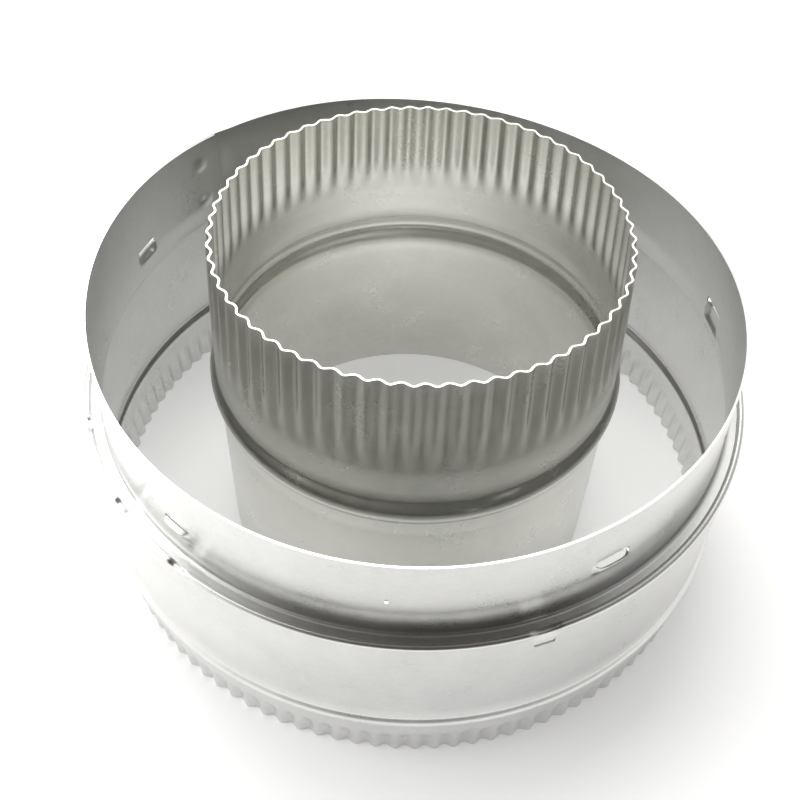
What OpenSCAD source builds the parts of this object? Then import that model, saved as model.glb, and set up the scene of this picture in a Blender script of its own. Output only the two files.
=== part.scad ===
// Vent pipe adapter: a plain and crimped flue pipe standing inside a stepped air sleeve.
// Sizes are millimetres. The origin is the centre of the base, +Z is the pipe axis, up,
// and -Y is the side that faced the camera. Angles run anticlockwise from +X.

/* [Sheet] */
// thickness of the galvanised sheet
sheet_t = 0.5; // [0.4:0.05:0.8]
// radius of the tight folds at the flange, on the inside of the bend
fold_r = 1.0; // [0.6:0.1:2]

/* [Upper sleeve] */
// outside diameter of the upper sleeve
sleeve_d = 166; // [140:1:200]
// height of the sleeve's rim above the floor
sleeve_top = 80; // [70:1:120]
// height of the ledge where the sleeve spreads into its flange
ledge_top = 53.4; // [45:0.1:60]
// height of the straight stretch below the rim
neck_h = 14; // [8:0.5:22]
// how far the wall leans out below that stretch
lean_out = 0.4; // [0:0.05:1.5]
// width of the overlap of the long seam
lap_w = 10; // [6:0.5:16]
// how far the inner layer of the long seam stops short of the rim
lap_short = 0.2; // [0.1:0.1:2]
// angle of the outer edge of the long seam
lap_at = 143.4; // [0:0.1:360]
// diameter of the two weld dimples on the seam
dimple_d = 3.6; // [2:0.1:5]
// depth of a weld dimple
dimple_deep = 0.3; // [0.1:0.05:0.4]
// distance of the upper weld dimple below the rim
dimple_drop = 6.3; // [4:0.1:10]
// distance between the two weld dimples
dimple_pitch = 11.1; // [8:0.1:13]

/* [Locking tabs] */
// number of locking tabs round the sleeve
tab_n = 5; // [3:1:8]
// angle of the first locking tab
tab_at = 15.7; // [0:0.1:90]
// width of a tab along the sleeve
tab_w = 9.4; // [6:0.1:14]
// distance of the tabs' open edge below the rim
tab_drop = 15; // [12:0.1:20]
// radius of the tab's curved back
tab_r = 2.2; // [1.6:0.1:3]
// how far a tab stands out of the sleeve
tab_out = 1.1; // [0.6:0.1:1.6]
// height of the slit above a tab
slit_h = 0.9; // [0.5:0.1:1.5]

/* [Lower band] */
// outside diameter of the lower band
band_d = 175.4; // [150:1:210]
// radius of the lip that is rolled over the flange
lip_r = 0.95; // [0.8:0.05:1.5]
// how far the rolled lip overhangs the wall below it
lip_out = 0.35; // [0:0.05:0.5]
// height of the middle of the stop bead
band_bead_at = 17.2; // [14:0.1:24]
// height of the stop bead from edge to edge
band_bead_h = 4.4; // [3:0.1:6]
// how far the stop bead stands out
band_bead_out = 1.2; // [0.6:0.1:2]
// height of the crimped skirt
skirt_h = 10.5; // [6:0.1:12]
// middle diameter of the skirt's crimps at the lower edge
skirt_d = 172.6; // [146:0.1:206]
// number of crimps round the skirt
skirt_n = 108; // [60:1:120]
// depth of a skirt crimp from ridge to valley
skirt_deep = 1.1; // [0.4:0.1:2]

/* [Clinches] */
// width of a clinch notch in the rolled lip
clinch_w = 4.2; // [2:0.1:7]
// length of the slot under the deep clinch
slot_w = 5.6; // [3:0.1:8]
// height of the slot under the deep clinch
slot_h = 1.8; // [1:0.1:3]

/* [Flue pipe] */
// outside diameter of the plain lower end
pipe_d = 106.4; // [90:0.1:130]
// height of the crimped rim above the floor
pipe_top = 98.8; // [85:0.1:140]
// length of the crimped end
crimp_h = 28; // [15:0.5:40]
// middle diameter of the crimps at the rim
rim_d = 101.6; // [86:0.1:126]
// number of crimps round the pipe
crimp_n = 64; // [40:1:90]
// depth of a pipe crimp from ridge to valley
crimp_deep = 0.95; // [0.5:0.05:2.5]
// height of the middle of the pipe's bead
pipe_bead_at = 56; // [40:0.1:64]
// height of the pipe's bead from edge to edge
pipe_bead_h = 9; // [5:0.1:12]
// how far the pipe's bead stands out
pipe_bead_out = 1.8; // [0.8:0.1:3]
// height of the pipe's seam above the floor
pipe_lap_h = 48; // [30:1:50]
// angle of the visible edge of the pipe's seam
pipe_lap_at = 208; // [0:0.5:360]

/* [Hidden] */
$fn = 96;

sleeve_r = sleeve_d / 2;
band_r = band_d / 2;
pipe_r = pipe_d / 2;
rim_r = rim_d / 2;
// heights where the sleeve's wall starts to lean out, and where its fold starts
neck_z = sleeve_top - neck_h;
fold_z = ledge_top + fold_r;
// the flange lies inside the rolled lip with this gap all round and above it
flange_gap = 0.15;
flange_r = band_r - sheet_t - flange_gap;
lip_x = band_r + lip_out - lip_r;
lip_z = ledge_top + flange_gap;
// clinches that the photograph shows, and plain ones on the side away from it
clinch_at = [22, 67, 112, 157, 200, 218.5, 233.5, 291.5];
deep_clinch_at = 291.5;
slot_drop = 3.4;
// the crimped stretch starts a little inside the plain wall, so that the two are one solid
tuck = 0.3;
skin = 0.05;

// radius of the arc that spans a bead's height and depth
function bead_arc(h, out) = (h * h / 4 + out * out) / (2 * out);

// one ring of a corrugated wall: four points to a crimp, ridge, slope, valley, slope
function wave(n, i) = i % 4 == 0 ? 1 : i % 4 == 2 ? -1 : 0;
function crimp_ring(n, r, deep, z) = [
    for (i = [0 : 4 * n - 1])
        let (a = 360 * i / (4 * n), q = r + deep / 2 * wave(n, i))
        [q * cos(a), q * sin(a), z]
];

// faces between ring a and ring b, whose points start at those indices
function band_faces(a, b, m) = [
    for (i = [0 : m - 1])
        let (j = (i + 1) % m)
        [[a + i, a + j, b + j], [a + i, b + j, b + i]]
];
function flat(list) = [for (part = list) for (face = part) face];

// corrugated tube: levels are [height, outer radius of the middle line, depth]
module crimped_tube(n, levels, t) {
    m = 4 * n;
    k = len(levels);
    outer = flat([for (v = levels) crimp_ring(n, v[1], v[2], v[0])]);
    inner = flat([for (v = levels) crimp_ring(n, v[1] - t, v[2], v[0])]);
    walls_out = [for (s = [0 : k - 2]) flat(band_faces((s + 1) * m, s * m, m))];
    walls_in = [for (s = [0 : k - 2]) flat(band_faces((k + s) * m, (k + s + 1) * m, m))];
    low_edge = flat(band_faces(0, k * m, m));
    high_edge = flat(band_faces((2 * k - 1) * m, (k - 1) * m, m));
    polyhedron(
        points = concat(outer, inner),
        faces = concat(flat(walls_out), flat(walls_in), low_edge, high_edge)
    );
}

// section of a bead that stands out of a wall of outside radius r
module bead_section(r, at, h, out) {
    arc = bead_arc(h, out);
    intersection() {
        translate([r + out - arc, at])
            difference() {
                circle(r = arc);
                circle(r = arc - sheet_t);
            }
        translate([r - sheet_t, at - h / 2 - sheet_t])
            square([out + 2 * sheet_t, h + 2 * sheet_t]);
    }
}

// section of a straight wall of outside radius r between two heights
module wall_section(r, low, high) {
    translate([r - sheet_t, low])
        square([sheet_t, high - low]);
}

// section of the outer sheet where the pipe's seam overlaps, sunk half a sheet into the wall
module lap_section(r, low, high) {
    translate([r - sheet_t / 2, low])
        square([1.5 * sheet_t, high - low]);
}

// section of the sleeve's wall: straight at the rim, leaning out from neck_z down to its foot
module leaning_section(inset, thick, low, high) {
    out = sleeve_r - inset;
    lean = lean_out * (neck_z - low) / (neck_z - fold_z);
    polygon([
        [out + lean - thick, low],
        [out + lean, low],
        [out, neck_z],
        [out, high],
        [out - thick, high],
        [out - thick, neck_z]
    ]);
}

// a stretch of a turned shape that covers the angle w from a1
module sector(a1, w) {
    rotate([0, 0, a1])
        rotate_extrude(angle = w)
            children();
}

// angle that a width covers on a circle
function span(width, r) = 2 * asin(width / (2 * r));

module sleeve_section() {
    foot_r = sleeve_r + lean_out;
    leaning_section(0, sheet_t, fold_z, sleeve_top);
    intersection() {
        translate([foot_r + fold_r, fold_z])
            difference() {
                circle(r = fold_r + sheet_t);
                circle(r = fold_r);
            }
        translate([foot_r - sheet_t, ledge_top - sheet_t])
            square([fold_r + sheet_t, fold_r + sheet_t]);
    }
    translate([foot_r + fold_r, ledge_top - sheet_t])
        square([flange_r - foot_r - fold_r, sheet_t]);
}

module tab_section() {
    intersection() {
        translate([sleeve_r + tab_out - tab_r, sleeve_top - tab_drop])
            difference() {
                circle(r = tab_r);
                circle(r = tab_r - sheet_t);
            }
        translate([sleeve_r - sheet_t / 2, sleeve_top - tab_drop - tab_r])
            square([tab_r, tab_r]);
    }
}

// height of the tab's opening in the wall, measured down from the open edge
function tab_reach() =
    sqrt(pow(tab_r - sheet_t, 2) - pow(tab_r - tab_out - sheet_t / 2, 2));

module upper_sleeve() {
    w = span(tab_w, sleeve_r);
    lap = span(lap_w, sleeve_r);
    dimple_x = sleeve_r - 2 * sheet_t - ball_r() + dimple_deep;
    color("silver")
    difference() {
        union() {
            rotate_extrude()
                sleeve_section();
            sector(lap_at - lap, lap)
                leaning_section(sheet_t / 2, 1.5 * sheet_t, fold_z + fold_r,
                    sleeve_top - lap_short);
        }
        for (i = [0 : tab_n - 1])
            rotate([0, 0, tab_at + 360 / tab_n * i - w / 2])
                translate([0, 0, sleeve_top - tab_drop - tab_reach()])
                    rotate_extrude(angle = w)
                        translate([sleeve_r - 3 * sheet_t, 0])
                            square([6 * sheet_t, tab_reach() + slit_h]);
        for (k = [0, 1])
            rotate([0, 0, lap_at - lap / 2])
                translate([dimple_x, 0, sleeve_top - dimple_drop - k * dimple_pitch])
                    sphere(r = ball_r());
    }
    color("silver")
    for (i = [0 : tab_n - 1])
        sector(tab_at + 360 / tab_n * i - w / 2, w)
            tab_section();
}

// ball that leaves a dimple of the stated width and depth
function ball_r() = (dimple_d * dimple_d / 4 + dimple_deep * dimple_deep) / (2 * dimple_deep);

module band_section() {
    low = band_bead_at - band_bead_h / 2;
    high = band_bead_at + band_bead_h / 2;
    wall_section(band_r, skirt_h, low + skin);
    bead_section(band_r, band_bead_at, band_bead_h, band_bead_out);
    wall_section(band_r, high - skin, lip_z - lip_r + sheet_t / 2);
    intersection() {
        translate([lip_x, lip_z])
            difference() {
                circle(r = lip_r);
                circle(r = lip_r - sheet_t);
            }
        union() {
            translate([lip_x - lip_r, lip_z])
                square([2 * lip_r, lip_r]);
            translate([band_r - sheet_t / 2, lip_z - lip_r])
                square([2 * lip_r, 1.5 * lip_r]);
        }
    }
}

module lower_band() {
    mid_r = skirt_d / 2 + sheet_t / 2;
    color("gainsboro")
    difference() {
        union() {
            rotate_extrude()
                band_section();
            crimped_tube(skirt_n, [
                [0, mid_r, skirt_deep],
                [0.6 * skirt_h, mid_r + 0.3, skirt_deep],
                [skirt_h, band_r - skin, 0],
                [skirt_h + tuck, band_r - skin, 0]
            ], sheet_t - 2 * skin);
        }
        for (a = clinch_at)
            rotate([0, 0, a])
                translate([lip_x - 2 * lip_r, -clinch_w / 2, lip_z + sheet_t / 4])
                    cube([4 * lip_r, clinch_w, 2 * lip_r]);
        rotate([0, 0, deep_clinch_at - span(slot_w, band_r) / 2])
            translate([0, 0, ledge_top - slot_drop - slot_h])
                rotate_extrude(angle = span(slot_w, band_r))
                    translate([band_r - 2 * sheet_t, 0])
                        square([4 * sheet_t, slot_h]);
    }
}

module pipe_section() {
    low = pipe_bead_at - pipe_bead_h / 2;
    high = pipe_bead_at + pipe_bead_h / 2;
    wall_section(pipe_r, 0, low + skin);
    bead_section(pipe_r, pipe_bead_at, pipe_bead_h, pipe_bead_out);
    wall_section(pipe_r, high - skin, pipe_top - crimp_h);
}

module flue_pipe() {
    lap = span(lap_w, pipe_r);
    foot = pipe_top - crimp_h;
    color("lightgray") {
        rotate_extrude()
            pipe_section();
        sector(pipe_lap_at - lap, lap)
            lap_section(pipe_r, 0, pipe_lap_h);
        crimped_tube(crimp_n, [
            [foot - tuck, pipe_r - skin, 0],
            [foot, pipe_r - skin, 0],
            [foot + 0.25 * crimp_h, pipe_r - 0.7, 0.6 * crimp_deep],
            [foot + 0.45 * crimp_h, pipe_r - 1.2, crimp_deep],
            [pipe_top, rim_r + sheet_t / 2, crimp_deep]
        ], sheet_t - 2 * skin);
    }
}

upper_sleeve();
lower_band();
flue_pipe();
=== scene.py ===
"""Looks of the vent pipe adapter: three sheet pieces, a pale floor, soft studio light.

Every size here is millimetres in the part's own frame and becomes metres in the meshes.
Angles run anticlockwise from +X, and -Y is the side that faces the camera.
"""
import math

import bpy
import numpy as np
from mathutils import Matrix, Vector


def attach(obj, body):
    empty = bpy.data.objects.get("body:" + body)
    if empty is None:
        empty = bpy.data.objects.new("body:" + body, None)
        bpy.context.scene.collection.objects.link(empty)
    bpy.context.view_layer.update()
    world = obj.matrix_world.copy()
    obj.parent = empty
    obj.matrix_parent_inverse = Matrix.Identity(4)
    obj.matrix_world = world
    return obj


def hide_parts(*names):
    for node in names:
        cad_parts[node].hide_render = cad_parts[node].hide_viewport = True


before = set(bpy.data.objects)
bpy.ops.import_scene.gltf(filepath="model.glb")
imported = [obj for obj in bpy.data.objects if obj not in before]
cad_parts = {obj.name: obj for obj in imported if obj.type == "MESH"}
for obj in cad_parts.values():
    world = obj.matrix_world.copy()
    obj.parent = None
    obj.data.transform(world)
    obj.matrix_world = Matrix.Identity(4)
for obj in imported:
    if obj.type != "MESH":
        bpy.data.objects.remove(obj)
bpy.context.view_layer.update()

MM = 0.001
SHEET = 0.5

# upper sleeve
SLEEVE_R = 83.0
SLEEVE_TOP = 80.0
LEDGE_TOP = 53.4
FOLD_R = 1.0
FLANGE_R = 87.05
LAP_OUTER_EDGE = 143.4
LAP_INNER_EDGE = 136.4
WELD_AT = 141.2
WELD_DROPS = (6.4, 17.6)
# each tab: middle angle, width in degrees, drop of its open edge, height, how far it stands out
TABS = (
    (303.5, 6.6, 14.6, 2.0, 1.2),
    (231.5, 5.6, 16.6, 1.8, 1.1),
    (159.8, 5.6, 17.6, 1.9, 1.1),
    (87.7, 6.4, 15.0, 2.0, 1.1),
    (10.6, 6.4, 18.0, 3.4, 1.3),
)

# lower band
BAND_R = 87.7
LIP_R = 0.95
LIP_OUT = 0.35
LIP_Z = 53.55
LIP_END = -50.0
BAND_BEAD = (17.2, 4.4, 1.15)
SKIRT_H = 10.5
SKIRT_R = 86.55
SKIRT_N = 108
SKIRT_DEEP = 1.1
CLINCHES = (22.0, 67.0, 112.0, 157.0, 200.0, 218.5, 233.5, 291.5)
DEEP_CLINCH = 291.5
SLOT_W = 5.6
SLOT_LOW, SLOT_HIGH = 48.2, 50.0

# flue pipe
PIPE_R = 53.2
PIPE_TOP = 98.8
PIPE_BEAD = (56.0, 9.0, 1.8)
CRIMP_H = 28.0
RIM_R = 51.05
CRIMP_N = 64
CRIMP_DEEP = 0.95
PIPE_LAP = 208.0
PIPE_LAP_W = 10.8
PIPE_LAP_H = 48.0


def smooth(x, low, high):
    t = np.clip((x - low) / (high - low), 0.0, 1.0)
    return t * t * (3.0 - 2.0 * t)


def turn_gap(a, b):
    """Signed difference of two angles in degrees, from -180 to 180."""
    return (np.asarray(a) - b + 180.0) % 360.0 - 180.0


def arc(cx, cz, r, a0, a1, n):
    t = np.radians(np.linspace(a0, a1, n))
    return [(cx + r * math.cos(v), cz + r * math.sin(v)) for v in t]


def line(p, q, n):
    """Points after p, up to and with q."""
    return [(p[0] + (q[0] - p[0]) * k / n, p[1] + (q[1] - p[1]) * k / n) for k in range(1, n + 1)]


def bead(r, spec, n):
    """Outer line of a bead from its upper to its lower edge, softened where it meets the wall."""
    at, high, out = spec
    z = np.linspace(at + high / 2, at - high / 2, n)
    t = (z - at) / (high / 2)
    return [(r + out * (1 - v * v) ** 1.35, float(h)) for v, h in zip(t, z)]


def grid_normals(p, closed):
    if closed:
        du = np.roll(p, -1, 0) - np.roll(p, 1, 0)
    else:
        du = np.gradient(p, axis=0)
    dv = np.gradient(p, axis=1)
    n = np.cross(dv, du)
    return n / np.maximum(np.linalg.norm(n, axis=2, keepdims=True), 1e-12)


def sheet_piece(name, p, keep, closed, material, body="root"):
    """A piece of sheet from a grid of points on its outer face; keep says which cells are metal."""
    na, nz = p.shape[:2]
    inner = p - SHEET * grid_normals(p, closed)
    cells_a = na if closed else na - 1
    ids = np.arange(na * nz).reshape(na, nz)
    nxt = np.roll(ids, -1, 0) if closed else ids
    if closed:
        a, b, c, d = ids[:, :-1], nxt[:, :-1], nxt[:, 1:], ids[:, 1:]
    else:
        a, b, c, d = ids[:-1, :-1], ids[1:, :-1], ids[1:, 1:], ids[:-1, 1:]
    off = na * nz
    quads = [np.stack([a, d, c, b], -1)[keep], (np.stack([a, b, c, d], -1) + off)[keep]]
    pad = np.zeros((cells_a + 2, nz + 1), bool)
    pad[1:-1, 1:-1] = keep
    if closed:
        pad[0, 1:-1], pad[-1, 1:-1] = keep[-1], keep[0]
    sides = (
        (~pad[:-2, 1:-1], a, d),
        (~pad[2:, 1:-1], c, b),
        (~pad[1:-1, :-2], b, a),
        (~pad[1:-1, 2:], d, c),
    )
    for open_side, u, v in sides:
        m = keep & open_side
        quads.append(np.stack([v, u, u + off, v + off], -1)[m])
    quads = np.concatenate(quads)
    verts = np.concatenate([p.reshape(-1, 3), inner.reshape(-1, 3)]) * MM
    used = np.unique(quads)
    new = np.full(len(verts), -1)
    new[used] = np.arange(len(used))
    return mesh_object(name, verts[used], new[quads], material, body)


def mesh_object(name, verts, quads, material, body):
    me = bpy.data.meshes.new(name)
    me.vertices.add(len(verts))
    me.vertices.foreach_set("co", verts.astype(np.float32).ravel())
    me.loops.add(quads.size)
    me.loops.foreach_set("vertex_index", quads.astype(np.int32).ravel())
    me.polygons.add(len(quads))
    me.polygons.foreach_set("loop_start", np.arange(0, quads.size, 4, dtype=np.int32))
    me.polygons.foreach_set("use_smooth", np.ones(len(quads), bool))
    me.update(calc_edges=True)
    me.validate()
    me.set_sharp_from_angle(angle=math.radians(38))
    me.materials.append(material)
    ob = bpy.data.objects.new(name, me)
    bpy.context.scene.collection.objects.link(ob)
    if body:
        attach(ob, body)
    return ob


def polar(r, a, z):
    t = np.radians(a)
    return np.stack([r * np.cos(t), r * np.sin(t), z], -1)


# the room: direction, where it starts and is full (as a cosine), colour
ROOM = (
    ((-0.9, 0.1, 0.3), 0.2, 0.95, (1.3, 1.3, 1.28, 1)),
    ((0.0, 0.8, 0.5), 0.3, 0.95, (1.0, 1.0, 0.97, 1)),
    ((0.1, -0.62, 0.78), 0.55, 0.92, (0.07, 0.06, 0.05, 1)),
)


# ---- pieces

def rim_shape(a):
    """How the sleeve's rim leaves a true circle: share of its radius, and height in mm."""
    t = np.radians(a)
    r = (-0.0083 * np.sin(2 * t) + 0.0072 * np.cos(3 * t) + 0.0053 * np.sin(3 * t)
         - 0.0124 * np.cos(t) + 0.0029 * np.sin(t))
    z = -0.0123 * np.cos(t) + 0.0087 * np.sin(t)
    return r, z * SLEEVE_R


def upper_sleeve(material):
    wall = [(SLEEVE_R, SLEEVE_TOP)]
    wall += line(wall[-1], (SLEEVE_R, 68.0), 24)
    wall += line(wall[-1], (SLEEVE_R, 60.0), 16)
    wall += line(wall[-1], (SLEEVE_R, LEDGE_TOP + FOLD_R), 10)
    wall += arc(SLEEVE_R + FOLD_R, LEDGE_TOP + FOLD_R, FOLD_R, 180, 270, 8)[1:]
    wall += line(wall[-1], (FLANGE_R, LEDGE_TOP), 4)
    wall = np.array(wall)
    a = np.linspace(LAP_INNER_EDGE, LAP_OUTER_EDGE + 360, 735)
    A, J = np.meshgrid(a, np.arange(len(wall)), indexing="ij")
    r, z = wall[J, 0].copy(), wall[J, 1].copy()
    up = np.clip((z - LEDGE_TOP) / (SLEEVE_TOP - LEDGE_TOP), 0, 1)
    dr, dz = rim_shape(A)
    r += dr * SLEEVE_R * up
    z += dz * up * up
    lap = smooth(A, LAP_INNER_EDGE + 356, LAP_INNER_EDGE + 360.0)
    r += 0.56 * lap * smooth(z, LEDGE_TOP + 1.2, LEDGE_TOP + 4.5)
    # the wall leans out a little as it nears the fold
    r += 0.5 * smooth(-z, -LEDGE_TOP - 8.0, -LEDGE_TOP - 1.0) * smooth(-r, -85.0, -84.0)
    for drop in WELD_DROPS:
        for centre in (WELD_AT, WELD_AT + 360):
            x = (A - centre) * math.radians(1) * SLEEVE_R
            y = z - dz * up * up - (SLEEVE_TOP - drop)
            r -= 0.35 * np.exp(-((x / 1.8) ** 2 + (y / 1.5) ** 2) ** 1.5)
    keep = np.ones((len(a) - 1, len(wall) - 1), bool)
    for at, width, drop, high, out in TABS:
        x = turn_gap(A, at) / (width / 2)
        top = SLEEVE_TOP - drop
        inside = np.abs(x) < 1.0
        t = np.clip((top - z) / (high * 1.6), 0, 1)
        swell = np.where(inside & (z <= top + 1e-6), np.sqrt(np.clip(1 - t * t, 0, 1)), 0)
        r += out * swell * np.clip(1 - x ** 6, 0, 1)
        xc = np.abs((x[:-1, :-1] + x[1:, 1:]) / 2)
        zc = (z[:-1, :-1] + z[1:, 1:]) / 2
        keep &= ~((xc < 1.0) & (zc > top) & (zc < top + high * 0.55))
    ac = (A[:-1, :-1] + A[1:, 1:]) / 2
    zc = (z[:-1, :-1] + z[1:, 1:]) / 2
    keep &= ~((ac > LAP_INNER_EDGE + 360) & (zc < LEDGE_TOP + 3.0))
    return sheet_piece("upper_sleeve_sheet", polar(r, A, z), keep, False, material)


def lower_band(material):
    lip_x = BAND_R + LIP_OUT - LIP_R
    wall = arc(lip_x, LIP_Z, LIP_R, 180, LIP_END, 17)
    wall += line(wall[-1], (BAND_R, SLOT_HIGH), 3)
    wall += line(wall[-1], (BAND_R, SLOT_LOW), 2)
    wall += line(wall[-1], (BAND_R, 44.0), 3)
    wall += line(wall[-1], (BAND_R, BAND_BEAD[0] + BAND_BEAD[1] / 2), 5)
    wall += bead(BAND_R, BAND_BEAD, 15)[1:]
    wall += line(wall[-1], (BAND_R, SKIRT_H), 3)
    wall += line(wall[-1], (SKIRT_R + 0.3, 0.6 * SKIRT_H), 5)
    wall += line(wall[-1], (SKIRT_R, 0.0), 4)
    wall = np.array(wall)
    a = np.linspace(0, 360, SKIRT_N * 8, endpoint=False)
    A, J = np.meshgrid(a, np.arange(len(wall)), indexing="ij")
    r, z = wall[J, 0].copy(), wall[J, 1].copy()
    deep = SKIRT_DEEP / 2 * smooth(-z, -SKIRT_H, -0.55 * SKIRT_H)
    r += deep * np.cos(np.radians(A * SKIRT_N))
    for at in CLINCHES:
        x = turn_gap(A, at) * math.radians(1) * lip_x
        w = 3.0 if at == DEEP_CLINCH else 2.1
        press = np.exp(-(x / w) ** 6)
        z -= press * 0.75 * np.clip(z - LIP_Z, 0, 1)
        r -= press * 0.35 * smooth(z, LIP_Z - 3.0, LIP_Z - 0.6) * smooth(r, lip_x, BAND_R)
    keep = np.ones((len(a), len(wall) - 1), bool)
    xc = turn_gap((A[:, :-1] + A[:, 1:]) / 2, DEEP_CLINCH) * math.radians(1) * BAND_R
    zc = (z[:, :-1] + z[:, 1:]) / 2
    keep &= ~((np.abs(xc) < SLOT_W / 2) & (zc < SLOT_HIGH) & (zc > SLOT_LOW))
    return sheet_piece("lower_band_sheet", polar(r, A, z), keep, True, material)


def flue_pipe(material):
    foot = PIPE_TOP - CRIMP_H
    at, high, _ = PIPE_BEAD
    wall = [(RIM_R, PIPE_TOP)]
    wall += line(wall[-1], (PIPE_R - 1.2, foot + 0.45 * CRIMP_H), 10)
    wall += line(wall[-1], (PIPE_R - 0.7, foot + 0.25 * CRIMP_H), 6)
    wall += line(wall[-1], (PIPE_R, foot), 8)
    wall += line(wall[-1], (PIPE_R, at + high / 2), 3)
    wall += bead(PIPE_R, PIPE_BEAD, 17)[1:]
    wall += line(wall[-1], (PIPE_R, 0.0), 10)
    wall = np.array(wall)
    a = np.linspace(0, 360, CRIMP_N * 12, endpoint=False)
    A, J = np.meshgrid(a, np.arange(len(wall)), indexing="ij")
    r, z = wall[J, 0].copy(), wall[J, 1].copy()
    grow = smooth(z, foot, foot + 0.45 * CRIMP_H)
    r += CRIMP_DEEP / 2 * grow * np.cos(np.radians(A * CRIMP_N))
    keep = np.ones((len(a), len(wall) - 1), bool)
    return sheet_piece("flue_pipe_sheet", polar(r, A, z), keep, True, material)


# ---- materials

def galvanised(name, colour, rough):
    mat = bpy.data.materials.new(name)
    mat.use_nodes = True
    nt = mat.node_tree
    nt.nodes.clear()
    new = nt.nodes.new
    out = new("ShaderNodeOutputMaterial")
    bsdf = new("ShaderNodeBsdfPrincipled")
    bsdf.inputs["Metallic"].default_value = 1.0
    nt.links.new(bsdf.outputs[0], out.inputs[0])
    co = new("ShaderNodeTexCoord")
    spangle = new("ShaderNodeTexVoronoi")
    spangle.inputs["Scale"].default_value = 900.0
    nt.links.new(co.outputs["Object"], spangle.inputs["Vector"])
    cloud = new("ShaderNodeTexNoise")
    cloud.inputs["Scale"].default_value = 70.0
    cloud.inputs["Detail"].default_value = 6.0
    nt.links.new(co.outputs["Object"], cloud.inputs["Vector"])
    tone = new("ShaderNodeSeparateColor")
    nt.links.new(spangle.outputs["Color"], tone.inputs[0])
    mix = new("ShaderNodeMix")
    mix.data_type = "FLOAT"
    mix.inputs[0].default_value = 0.15
    nt.links.new(cloud.outputs["Fac"], mix.inputs[2])
    nt.links.new(tone.outputs[0], mix.inputs[3])
    ramp = new("ShaderNodeValToRGB")
    ramp.color_ramp.elements[0].position = 0.2
    ramp.color_ramp.elements[1].position = 0.8
    ramp.color_ramp.elements[0].color = [c * 0.90 for c in colour] + [1]
    ramp.color_ramp.elements[1].color = [min(1, c * 1.06) for c in colour] + [1]
    nt.links.new(mix.outputs[0], ramp.inputs[0])
    nt.links.new(ramp.outputs[0], bsdf.inputs["Base Color"])
    span = new("ShaderNodeMapRange")
    span.inputs["To Min"].default_value = rough - 0.05
    span.inputs["To Max"].default_value = rough + 0.08
    nt.links.new(mix.outputs[0], span.inputs[0])
    nt.links.new(span.outputs[0], bsdf.inputs["Roughness"])
    bump = new("ShaderNodeBump")
    bump.inputs["Strength"].default_value = 0.15
    bump.inputs["Distance"].default_value = 0.0003
    nt.links.new(cloud.outputs["Fac"], bump.inputs["Height"])
    nt.links.new(bump.outputs[0], bsdf.inputs["Normal"])
    return mat


def floor_material():
    mat = bpy.data.materials.new("floor")
    mat.use_nodes = True
    nt = mat.node_tree
    nt.nodes.clear()
    new = nt.nodes.new
    out = new("ShaderNodeOutputMaterial")
    diffuse = new("ShaderNodeBsdfDiffuse")
    diffuse.inputs["Color"].default_value = (0.86, 0.86, 0.86, 1)
    glow = new("ShaderNodeEmission")
    glow.inputs["Color"].default_value = (1, 1, 1, 1)
    glow.inputs["Strength"].default_value = 0.35
    add = new("ShaderNodeAddShader")
    path = new("ShaderNodeLightPath")
    seen = path.outputs["Is Camera Ray"]
    for ray in ("Is Glossy Ray", "Is Transmission Ray"):
        either = new("ShaderNodeMath")
        either.operation = "MAXIMUM"
        nt.links.new(seen, either.inputs[0])
        nt.links.new(path.outputs[ray], either.inputs[1])
        seen = either.outputs[0]
    mix = new("ShaderNodeMixShader")
    nt.links.new(seen, mix.inputs[0])
    nt.links.new(diffuse.outputs[0], mix.inputs[1])
    nt.links.new(diffuse.outputs[0], add.inputs[0])
    nt.links.new(glow.outputs[0], add.inputs[1])
    nt.links.new(add.outputs[0], mix.inputs[2])
    nt.links.new(mix.outputs[0], out.inputs[0])
    return mat


def world_light():
    """A room of soft grey light: bright at the left and behind, dim behind the camera."""
    world = bpy.data.worlds.new("studio")
    world.use_nodes = True
    bpy.context.scene.world = world
    nt = world.node_tree
    nt.nodes.clear()
    new = nt.nodes.new
    out = new("ShaderNodeOutputWorld")
    co = new("ShaderNodeTexCoord")

    def facing(direction, low, high):
        dot = new("ShaderNodeVectorMath")
        dot.operation = "DOT_PRODUCT"
        dot.inputs[1].default_value = Vector(direction).normalized()
        nt.links.new(co.outputs["Generated"], dot.inputs[0])
        ramp = new("ShaderNodeMapRange")
        ramp.interpolation_type = "SMOOTHSTEP"
        ramp.inputs["From Min"].default_value = low
        ramp.inputs["From Max"].default_value = high
        nt.links.new(dot.outputs["Value"], ramp.inputs[0])
        return ramp.outputs[0]

    def blend(fac, under, colour):
        mix = new("ShaderNodeMix")
        mix.data_type = "RGBA"
        nt.links.new(fac, mix.inputs[0])
        if isinstance(under, tuple):
            mix.inputs[6].default_value = under
        else:
            nt.links.new(under, mix.inputs[6])
        mix.inputs[7].default_value = colour
        return mix.outputs[2]

    shade = (0.42, 0.42, 0.42, 1)
    for direction, low, high, colour in ROOM:
        shade = blend(facing(direction, low, high), shade, colour)
    room = new("ShaderNodeBackground")
    nt.links.new(shade, room.inputs["Color"])
    nt.links.new(room.outputs[0], out.inputs[0])


# ---- stage

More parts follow.
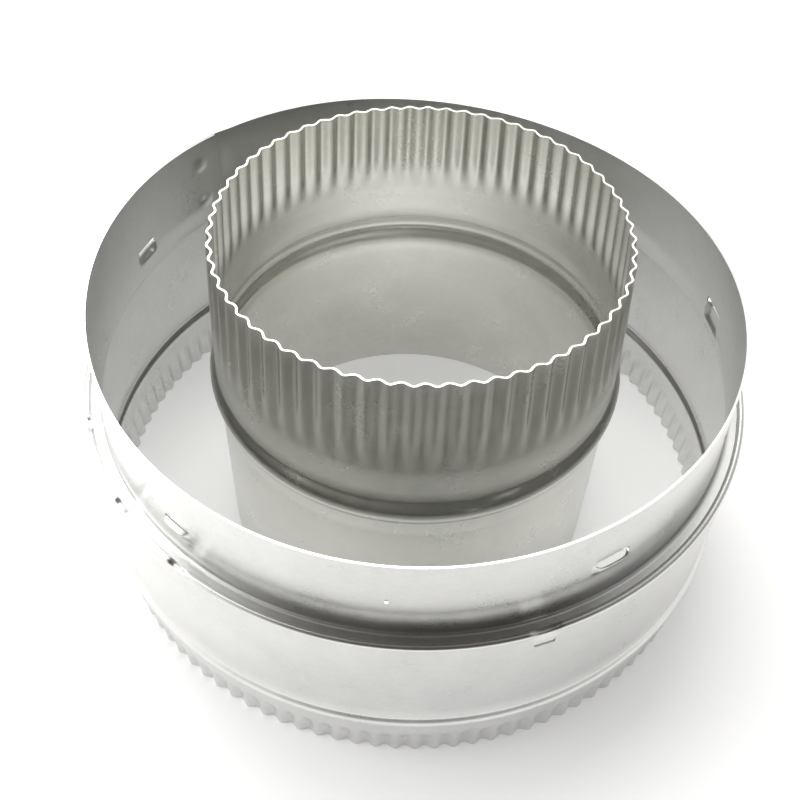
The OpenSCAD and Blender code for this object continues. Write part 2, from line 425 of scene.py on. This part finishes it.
def camera():
    data = bpy.data.cameras.new("camera")
    data.sensor_width = 36.0
    data.lens = 1056.0 * 36.0 / 800.0
    data.clip_start = 0.01
    cam = bpy.data.objects.new("camera", data)
    bpy.context.scene.collection.objects.link(cam)
    pan, pitch, roll = math.radians(-1.07), math.radians(48.7), math.radians(-2.2)
    forward = Vector((0, math.cos(pitch), -math.sin(pitch)))
    up = Vector((0, math.sin(pitch), math.cos(pitch)))
    right = Vector((1, 0, 0))
    back_pan = Matrix.Rotation(-pan, 3, "Z")
    forward, up, right = back_pan @ forward, back_pan @ up, back_pan @ right
    c, s = math.cos(roll), math.sin(roll)
    right, up = c * right - s * up, s * right + c * up
    m = Matrix((right, up, -forward)).transposed().to_4x4()
    m.translation = Vector((0, -198.4, 261.8)) * MM
    cam.matrix_world = m
    bpy.context.scene.camera = cam


def area(name, at, aim, size, watts, colour):
    data = bpy.data.lights.new(name, "AREA")
    data.shape = "DISK"
    data.size = size
    data.energy = watts
    data.color = colour
    ob = bpy.data.objects.new(name, data)
    bpy.context.scene.collection.objects.link(ob)
    ob.location = at
    ob.rotation_euler = (Vector(aim) - Vector(at)).to_track_quat("-Z", "Y").to_euler()
    return ob


def floor():
    me = bpy.data.meshes.new("floor")
    s = 3.0
    me.from_pydata([(-s, -s, 0), (s, -s, 0), (s, s, 0), (-s, s, 0)], [], [(0, 1, 2, 3)])
    me.materials.append(floor_material())
    ob = bpy.data.objects.new("floor", me)
    bpy.context.scene.collection.objects.link(ob)


camera()
floor()
world_light()
area("overhead", (-0.15, 0.5, 0.95), (0, 0, 0.05), 0.9, 9.0, (1.0, 0.99, 0.96))
area("window", (-1.15, 0.0, 0.6), (0, 0, 0.05), 0.9, 6.0, (1.0, 1.0, 1.0))

PARTS = (
    (upper_sleeve, "upper_sleeve", "sleeve_sheet", (0.68, 0.68, 0.67), 0.28),
    (lower_band, "lower_band", "band_sheet", (0.68, 0.68, 0.67), 0.28),
    (flue_pipe, "flue_pipe", "flue_sheet", (0.66, 0.66, 0.62), 0.24),
)
for build, node, slot, colour, rough in PARTS:
    piece = build(galvanised(slot, colour, rough))
    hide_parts(node)

scene = bpy.context.scene
scene.view_settings.view_transform = "Standard"
bpy.context.view_layer.update()
